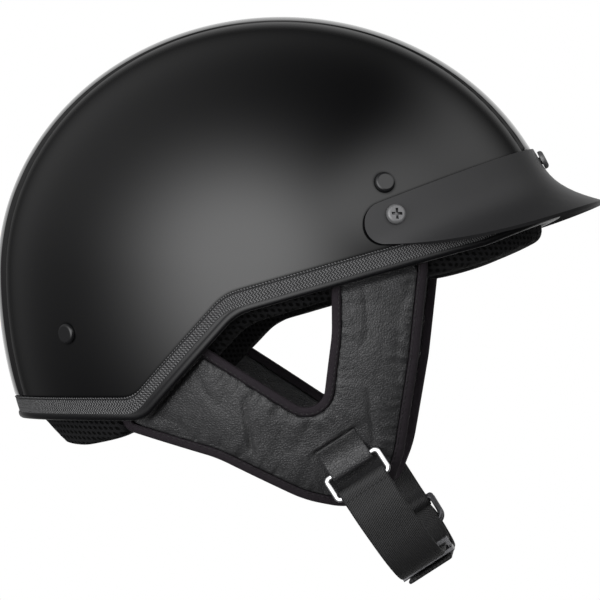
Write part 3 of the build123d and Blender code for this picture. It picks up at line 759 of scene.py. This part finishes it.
def sidePanel():
    piece = copyNode("right_side_panel", "rightSidePanel", leather["voxel"])
    co = meshArray(piece.data)
    x, z = co[:, 0] / mm, co[:, 2] / mm
    away, along = edgeDistance(co[:, [0, 2]] / mm)
    swell = 1.0 - np.exp(-away / leather["run"])
    height = leather["puff"] - panelWrinkles(co, away)
    for wave in leather["waves"]:
        height += fieldNoise(co, wave["scale"], wave["seed"], wave["stretch"]) * wave["high"]
    height = swell * height - windowFold(x, z) + seamPinch(away, along)
    height = tuckedUnder(tabSeat(height, co, x, z), x, z)
    length, width, crown = [shell[key] - panel["inset"] for key in ("length", "width", "crown")]
    facing = domeFacing(co, length, width, crown, panel["deep"])
    outside = (meshArray(piece.data, "normal") * facing).sum(axis=1)
    inward = np.where(outside < -leather["outside"], -swell * leather["inner"], 0.0)
    move = np.where(outside > leather["outside"], height, inward) * mm
    putArray(piece.data, co + facing * move[:, None])
    dress(piece, "leather")
    return carried(piece, "helmet")


rightPanel = sidePanel()
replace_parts(rightPanel, "right_side_panel")
leftPanel = mirrorPiece(rightPanel, "leftSidePanel", "helmet")
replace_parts(leftPanel, "left_side_panel")
say("side panels")


# cloth binding folded over the panel's edges
binding = {
    "section": (
        (4.4, 0.1), (4.2, 0.75), (3.6, 1.0), (2.4, 1.1), (1.2, 0.95), (0.4, 0.45), (0.05, -0.5), (0.0, -2.0),
        (0.05, -3.5), (0.4, -4.35), (1.2, -4.75), (2.4, -4.85), (3.6, -4.8), (4.2, -4.65), (4.4, -4.1),
    ),
    "pastTop": 0.5, "wave": 0.12,
}


def alongLine(line, i):
    # which way a line runs at one of its points
    return (line[min(len(line) - 1, i + 2)] - line[max(0, i - 2)]).normalized()


def bindingPiece(name, line, inside, replaced):
    # section swept along the outline; inside tells on which hand the leather lies
    rim = [p for p in line if p.y < float(rimHeight(p.x, panel["rise"])) + binding["pastTop"]]
    verts, uvs = [], []
    section = binding["section"]
    run = 0.0
    for i, p in enumerate(rim):
        ahead = alongLine(rim, i)
        inward = Vector((-ahead.y, ahead.x)) * inside
        if i:
            run += (p - rim[i - 1]).length * mm
        wave = binding["wave"] * math.sin(run / mm * 1.3) * math.sin(run / mm * 0.37 + 1.0)
        across = 0.0
        for k, (depth, outset) in enumerate(section):
            q = p + inward * depth
            verts.append(panelPoint(q.x * mm, q.y * mm, (outset + wave * (outset > 0)) * mm, -1.0))
            if k:
                across += math.dist(section[k], section[k - 1]) * mm
            uvs.append((run, across))
    faces = gridFaces(len(rim), len(section), wrapCols=True) + endCaps(len(rim), len(section))
    piece = meshPiece("right" + name, verts, faces, "helmet", "binding", uvs)
    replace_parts(piece, "right_" + replaced)
    twin = mirrorPiece(piece, "left" + name, "helmet")
    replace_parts(twin, "left_" + replaced)


bindingPiece("EdgeBinding", panelLine, 1.0, "edge_binding")
bindingPiece("WindowBinding", windowLine, -1.0, "window_binding")
say("bindings")

# pads: each CAD solid remade as an even skin, pinned where it is glued, and blown up a little
padding = {
    "voxel": 4.0 * mm, "fineVoxel": 3.2 * mm, "fine": ("brow_pad", "neck_roll"),
    "dome": (0.105, 0.08, 0.092, 0.14), "gluedFrom": 0.35, "uvRadius": 95.0 * mm,
    "frames": 20, "cap": 1.6 * mm, "outwardCap": 0.25 * mm,
    "cloth": {
        "use_pressure": True, "uniform_pressure_force": 4.0, "vertex_group_mass": "glued",
        "tension_stiffness": 18.0, "compression_stiffness": 12.0, "mass": 0.3,
    },
}
# the brow pad hangs lower than its solid, most of all at its two ends, which also reach further back
brow = {
    "endFrom": 108.0 * mm, "endRun": 30.0 * mm, "hangRun": 12.0 * mm, "drop": 3.6 * mm, "endDrop": 4.4 * mm,
    "endBack": 9.0 * mm,
}


def blownUp(piece, rest, facing):
    # cloth under pressure, kept close to the CAD solid and hardly past its outer face
    cloth = piece.modifiers.new("cloth", "CLOTH")
    for setting, value in padding["cloth"].items():
        setattr(cloth.settings, setting, value)
    cloth.settings.effector_weights.gravity = 0.0
    cloth.collision_settings.use_collision = False
    cloth.point_cache.frame_start = 1
    cloth.point_cache.frame_end = padding["frames"]
    for frameNumber in range(1, padding["frames"] + 1):
        scene.frame_set(frameNumber)
    ready = bpy.data.meshes.new_from_object(piece.evaluated_get(bpy.context.evaluated_depsgraph_get()))
    piece.modifiers.clear()
    move = meshArray(ready) - rest
    outward = (move * facing).sum(axis=1)
    move -= facing * np.maximum(outward - padding["outwardCap"], 0.0)[:, None]
    size = np.maximum(np.linalg.norm(move, axis=1), 1e-9)
    return rest + move * np.minimum(1.0, padding["cap"] / size)[:, None]


def browHung(co):
    end = ramped((brow["endFrom"] - co[:, 0]) / brow["endRun"])
    hang = ramped((rimHeight(co[:, 0] / mm, 0.0) * mm - co[:, 2]) / brow["hangRun"])
    co[:, 2] -= (brow["drop"] + brow["endDrop"] * end) * hang
    co[:, 0] -= brow["endBack"] * end * end
    return co


def softPad(nodeName, name):
    piece = copyNode(nodeName, name, padding["fineVoxel" if nodeName in padding["fine"] else "voxel"])
    rest = meshArray(piece.data)
    facing = domeFacing(rest, *padding["dome"])
    outside = (meshArray(piece.data, "normal") * facing).sum(axis=1)
    glued = piece.vertex_groups.new(name="glued")
    glued.add([int(i) for i in np.nonzero(outside > padding["gluedFrom"])[0]], 1.0, "REPLACE")
    putArray(piece.data, blownUp(piece, rest, facing))
    if nodeName == "brow_pad":
        putArray(piece.data, browHung(meshArray(piece.data)))
    scene.frame_set(1)
    smooth = piece.modifiers.new("smooth", "SUBSURF")
    smooth.levels = 1
    smooth.render_levels = 1
    applyModifiers(piece)
    carried(piece, "helmet")
    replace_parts(piece, nodeName)
    dress(piece, "pad_fabric")
    fromAbove = nodeName == "crown_pad"
    layer = piece.data.uv_layers.new(name="along")
    for loop in piece.data.loops:
        x, y, z = piece.data.vertices[loop.vertex_index].co
        layer.data[loop.index].uv = (x, y) if fromAbove else (math.atan2(y, x) * padding["uvRadius"], z)
    return piece


for nodeName, name in (("crown_pad", "crownPad"), ("brow_pad", "browPad"), ("neck_roll", "neckRoll"),
                       ("right_side_pad", "rightSidePad")):
    pad = softPad(nodeName, name)
    say(name)
twin = mirrorPiece(pad, "leftSidePad", "helmet")
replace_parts(twin, "left_side_pad")


def strapPoint(y, up, across=0.0):
    c, s = math.cos(strap["lean"]), math.sin(strap["lean"])
    line = strap["line"] + across
    return Vector((line * c - up * s, y, line * s + up * c)) * mm


def squareTo(before, after):
    # the direction square to a short run of a line, on its left hand
    ahead = Vector((after[0] - before[0], after[1] - before[1])).normalized()
    return Vector((-ahead.y, ahead.x))


def rounded(points, times=2, closed=False):
    # corners cut again and again until the line is smooth
    for _ in range(times):
        done = [] if closed else [points[0]]
        for a, b in zip(points, points[1:] + points[:1] if closed else points[1:]):
            done.append((a[0] * 0.75 + b[0] * 0.25, a[1] * 0.75 + b[1] * 0.25))
            done.append((a[0] * 0.25 + b[0] * 0.75, a[1] * 0.25 + b[1] * 0.75))
        points = done if closed else done + [points[-1]]
    return points


def ribbon(name, line, width, thick, body, closed=False, steps=14):
    # flat webbing along a line in the strap's plane, with round selvedges
    half, soft = width / 2, thick / 2
    spread = [half * (-1 + 2 * k / steps) for k in range(1, steps)]
    spread = ([-half, -half + soft * 0.15, -half + soft * 0.5] + spread
              + [half - soft * 0.5, half - soft * 0.15, half])
    edge = [max(0.0, (abs(w) - (half - soft)) / soft) for w in spread]
    upper = [(w, soft * math.sqrt(max(0.0, 1 - e * e))) for w, e in zip(spread, edge)]
    section = upper + [(w, -h) for w, h in reversed(upper[1:-1])]
    verts, uvs = [], []
    run = 0.0
    total = len(line)
    for i, p in enumerate(line):
        before = line[(i - 1) % total] if closed else line[max(0, i - 1)]
        after = line[(i + 1) % total] if closed else line[min(total - 1, i + 1)]
        away = squareTo(before, after)
        if i:
            run += math.dist(p, line[i - 1]) * mm
        for w, h in section:
            verts.append(strapPoint(p[0] + away.x * h, p[1] + away.y * h, w))
            uvs.append((run, w * mm))
    faces = gridFaces(total, len(section), wrapRows=closed, wrapCols=True)
    if not closed:
        faces += endCaps(total, len(section))
    return meshPiece(name, verts, faces, body, "webbing", uvs)


def arc(centre, radius, start, end, count=14):
    spread = [math.radians(start + (end - start) * k / count) for k in range(count + 1)]
    return [(centre[0] + radius * math.cos(a), centre[1] + radius * math.sin(a)) for a in spread]


# how the D-rings hang, and where the strap folds through them
dRings = {"at": (80.0, -137.2), "turn": math.radians(25.0), "foldDown": 6.9, "foldOut": 5.8}
dDown = (-math.sin(dRings["turn"]), -math.cos(dRings["turn"]))
dOut = (-dDown[1], dDown[0])


def byRings(down, out):
    y, up = dRings["at"]
    return (y + dDown[0] * down + dOut[0] * out, up + dDown[1] * down + dOut[1] * out)


# the strap's upper end goes up, round the ring's bar and down again, and is sewn to the strap
strapLoop = {
    "side": strap["ring"] - 1.0, "up": ((0.0, -118.0), (0.0, -115.8), (0.75, -113.2)),
    "down": ((-3.15, -113.2), (-2.75, -116.0)), "arc": (-25, 186), "lap": 2.45, "lapRun": 20.0,
    "bends": (40.0, 22.0, 1.7, 1.7, 22.0),
}


def strapLine():
    side = strapLoop["side"]
    foldSide = byRings(dRings["foldDown"], -dRings["foldOut"])
    foldBack = byRings(dRings["foldDown"], dRings["foldOut"])
    slope = dDown[0] / -dDown[1]
    innerTurn = foldSide[0] + slope * (foldSide[1] + strap["low"])
    outerTurn = foldBack[0] + slope * (foldBack[1] + strap["tailLow"])
    top = [(-side + y, up) for y, up in strapLoop["up"]]
    top += arc((-strap["ring"], -strap["bar"]), strap["loop"], *strapLoop["arc"])
    top += [(-side + y, up) for y, up in strapLoop["down"]]
    route = filletLine(
        ((-side, strapLoop["up"][0][1]), (-side, -strap["low"]), (innerTurn, -strap["low"]),
         foldSide, foldBack, (outerTurn, -strap["tailLow"]), (strap["tailEnd"], -strap["tailLow"])),
        strapLoop["bends"], step=0.6)
    lapped = []
    run = 0.0
    for here, ahead in zip(route, route[1:]):
        forward = (ahead - here).normalized()
        fade = max(0.0, 1.0 - run / strapLoop["lapRun"])
        lift = strapLoop["lap"] * fade * fade * (3.0 - 2.0 * fade)  # coming down on to the single strap
        lapped.append((here.x + forward.y * lift, here.y - forward.x * lift))
        run += (ahead - here).length
    lapped.append((route[-1].x, route[-1].y))
    return rounded(top, 2) + lapped


chinStrap = ribbon("chinStrap", strapLine(), strap["width"], strap["thick"], "chin_strap")
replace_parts(chinStrap, "chin_strap")

# leather tab: out of a slit in the panel, round the ring's upper bar and back under itself
tab = {
    "half": 11.0, "thick": 1.6, "slit": -84.9, "bar": 2.35, "steps": 12, "over": 0.35, "edgeFrom": 0.9,
    "edgeRows": (0.95, 0.985, 1.0), "end": ((-0.1, 1.0), (-0.3, 2.2)),
}


def panelFace(up, across):
    flatPoint = strapPoint(0.0, up, across)
    return -panelPoint(flatPoint.x, flatPoint.z, 0.0, -1.0).y / mm


def tabCentre(across):
    # middle line of the leather, from the slit to its hidden end
    hanging, bar = strap["ring"] + tab["bar"], -strap["tabBar"]
    centre = []
    for up in np.linspace(tab["slit"], bar, 16)[:-1]:
        share = (up - bar) / (tab["slit"] - bar)
        lying = panelFace(up, across) + tab["over"]
        ease = share * share * (3 - 2 * share)
        centre.append((-(hanging * (1 - ease) + lying * ease), up))
    centre += arc((-strap["ring"], bar), tab["bar"], 180, 360, 16)
    return centre + [(-strap["ring"] + tab["bar"] + y, bar + up) for y, up in tab["end"]]


def ringTab():
    edgeRows = list(tab["edgeRows"])
    spread = ([-w for w in reversed(edgeRows)]
              + list(np.linspace(-tab["edgeFrom"], tab["edgeFrom"], tab["steps"])) + edgeRows)
    verts, uvs = [], []
    for w in spread:
        across = w * tab["half"]
        centre = tabCentre(across)
        worn = max(0.0, (abs(w) - tab["edgeFrom"]) / (1.0 - tab["edgeFrom"]))
        half = tab["thick"] / 2 * math.sqrt(max(0.04, 1 - worn ** 2))
        outer, inner = [], []
        for i, p in enumerate(centre):
            away = -squareTo(centre[max(0, i - 1)], centre[min(len(centre) - 1, i + 1)])
            outer.append((p[0] + away.x * half, p[1] + away.y * half))
            inner.append((p[0] - away.x * half, p[1] - away.y * half))
        for p in outer + inner[::-1]:
            verts.append(strapPoint(p[0], p[1], across))
            uvs.append((p[1] * mm, across * mm))
    count = len(centre)
    faces = gridFaces(len(spread), 2 * count, wrapCols=True)
    for start in (0, (len(spread) - 1) * 2 * count):
        for i in range(count - 1):
            faces.append((start + i, start + i + 1, start + 2 * count - 2 - i, start + 2 * count - 1 - i))
    return meshPiece("rightRingTab", verts, faces, "helmet", "leather", uvs)


rightTab = ringTab()
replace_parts(rightTab, "right_ring_tab")
twin = mirrorPiece(rightTab, "leftRingTab", "helmet")
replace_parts(twin, "left_ring_tab")

# webbing loop from the left ring's bar down round the two D-rings
ringLoop = {
    "thick": 1.6, "bar": 2.35, "barArc": (-25, 205), "wire": 2.55, "apart": 1.6, "wireArc": (140, 245, 350),
    "down": ((80.75, -114.0), (80.8, -117.0), (80.0, -127.0), (79.6, -131.5)),
    "back": ((81.3, -131.5), (81.6, -127.0), (82.4, -117.0), (82.9, -114.0)),
}
start, middle, end = ringLoop["wireArc"]
tabLine = arc((strap["ring"], -strap["bar"]), ringLoop["bar"], *ringLoop["barArc"])
tabLine += ringLoop["down"]
tabLine += arc(byRings(0.0, -ringLoop["apart"]), ringLoop["wire"], start, middle, 8)
tabLine += arc(byRings(0.0, ringLoop["apart"]), ringLoop["wire"], middle, end, 8)
tabLine += ringLoop["back"]
dRingTab = ribbon("dRingTab", rounded(tabLine, 2, closed=True), strap["width"], ringLoop["thick"],
                  "d_ring_tab", closed=True)
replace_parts(dRingTab, "d_ring_tab")
say("straps")

# stitches: one short thread set again and again along a line, lying flat on the surface
stitchTree = bpy.data.node_groups.new("stitchRow", "GeometryNodeTree")
stitchTree.is_modifier = True
for label, kind, default in (("Geometry", "NodeSocketGeometry", None), ("Pitch", "NodeSocketFloat", 0.003),
                             ("Length", "NodeSocketFloat", 0.002), ("Thickness", "NodeSocketFloat", 0.0005),
                             ("Thread", "NodeSocketMaterial", None)):
    socket = stitchTree.interface.new_socket(label, in_out="INPUT", socket_type=kind)
    if default is not None:
        socket.default_value = default
stitchTree.interface.new_socket("Geometry", in_out="OUTPUT", socket_type="NodeSocketGeometry")


def treeNode(kind, inputs=(), **values):
    return newNode(stitchTree, kind, inputs, **values)


given = treeNode("NodeGroupInput")
curve = treeNode("GeometryNodeMeshToCurve")
even = treeNode("GeometryNodeResampleCurve", mode="LENGTH")
tangent = treeNode("GeometryNodeInputTangent")
upward = treeNode("GeometryNodeInputNamedAttribute", (("Name", "up"),), data_type="FLOAT_VECTOR")
alongAxis = treeNode("FunctionNodeAlignRotationToVector", axis="X")
upAxis = treeNode("FunctionNodeAlignRotationToVector", axis="Z", pivot_axis="X")
ball = treeNode("GeometryNodeMeshUVSphere", (("Segments", 10), ("Rings", 6), ("Radius", 0.5)))
size = treeNode("ShaderNodeCombineXYZ")
flatten = treeNode("ShaderNodeMath", ((1, 0.7),), operation="MULTIPLY")
shaped = treeNode("GeometryNodeTransform")
placedOn = treeNode("GeometryNodeInstanceOnPoints")
real = treeNode("GeometryNodeRealizeInstances")
painted = treeNode("GeometryNodeSetMaterial")
made = treeNode("NodeGroupOutput")
for start, out, end, into in (
    (given, "Geometry", curve, "Mesh"), (curve, "Curve", even, "Curve"), (given, "Pitch", even, "Length"),
    (even, "Curve", placedOn, "Points"), (tangent, "Tangent", alongAxis, "Vector"),
    (alongAxis, "Rotation", upAxis, "Rotation"), (upward, "Attribute", upAxis, "Vector"),
    (given, "Length", size, "X"), (given, "Thickness", size, "Y"), (given, "Thickness", flatten, 0),
    (flatten, "Value", size, "Z"), (ball, "Mesh", shaped, "Geometry"), (size, "Vector", shaped, "Scale"),
    (shaped, "Geometry", placedOn, "Instance"), (upAxis, "Rotation", placedOn, "Rotation"),
    (placedOn, "Instances", real, "Geometry"), (real, "Geometry", painted, "Geometry"),
    (given, "Thread", painted, "Material"), (painted, "Geometry", made, "Geometry"),
):
    stitchTree.links.new(start.outputs[out], end.inputs[into])


def stitchRow(name, points, ups, body, pitch=2.6 * mm, length=1.9 * mm, thick=0.55 * mm):
    mesh = bpy.data.meshes.new(name)
    mesh.from_pydata([tuple(p) for p in points], [(i, i + 1) for i in range(len(points) - 1)], [])
    attribute = mesh.attributes.new("up", "FLOAT_VECTOR", "POINT")
    for i, up in enumerate(ups):
        attribute.data[i].vector = up
    row = placed(name, mesh)
    modifier = row.modifiers.new("stitches", "NODES")
    modifier.node_group = stitchTree
    values = {"Pitch": pitch, "Length": length, "Thickness": thick, "Thread": materials["thread"]}
    for item in stitchTree.interface.items_tree:
        if item.item_type == "SOCKET" and item.in_out == "INPUT" and item.name in values:
            modifier[item.identifier] = values[item.name]
    applyModifiers(row)
    return carried(row, body)


seam = {"depth": 3.5, "lift": 1.02, "belowTop": 4.0}


def seamRow(name, line, inside):
    # one row beside the binding, on the leather
    points, ups = [], []
    for i, p in enumerate(line):
        if p.y > float(rimHeight(p.x, panel["rise"] - seam["belowTop"])):
            continue
        ahead = alongLine(line, i)
        q = p + Vector((-ahead.y, ahead.x)) * inside * seam["depth"]
        points.append(panelPoint(q.x * mm, q.y * mm, seam["lift"] * mm, -1.0))
        ups.append(panelNormal(q.x * mm, q.y * mm, -1.0))
    return stitchRow(name, points, ups, "helmet")


for name, line, inside in (("EdgeStitches", panelLine, 1.0), ("WindowStitches", windowLine, -1.0)):
    mirrorPiece(seamRow("right" + name, line, inside), "left" + name, "helmet")


def acrossRow(name, y, up, facingOut, body):
    # one row across the strap's width
    count, half = 22, 10.5
    points = [strapPoint(y, up, w) for w in np.linspace(-half, half, count)]
    ups = [Vector((0, facingOut, 0))] * count
    stitchRow(name, points, ups, body, pitch=2.1 * mm, length=1.25 * mm, thick=0.5 * mm)


def tackRow(name, up):
    # one of the short rows that hold the leather tab to the panel
    count, half, over = 18, 9.6, 1.22
    points = [strapPoint(-(panelFace(up, w) + over), up, w) for w in np.linspace(-half, half, count)]
    ups = [Vector((0, -1, 0))] * count
    row = stitchRow("right" + name, points, ups, "helmet", pitch=1.3 * mm, length=1.05 * mm, thick=0.5 * mm)
    mirrorPiece(row, "left" + name, "helmet")


acrossRow("rightStrapStitches", -85.5, -112.4, -1.0, "chin_strap")
acrossRow("leftTabStitches", 83.9, -119.0, 1.0, "d_ring_tab")
tackRow("Tack1", -85.7)
tackRow("Tack2", -87.1)
say("stitches")

# every CAD piece that stays gets the finish of its slot
finishes = {
    "visor": "visor", "impact_liner": "foam", "strap_slider": "slider", "_visor_screw": "black_screw",
    "_nut": "steel", "_washer": "steel", "_rivet": "rivet", "_webbing": "hidden", "_d_ring": "slider",
    "_ring": "ring",
}
for nodeName in nodes:
    finish = next((key for ending, key in finishes.items() if nodeName.endswith(ending)), None)
    if finish:
        dress(nodes[nodeName], finish)
say("finishes")
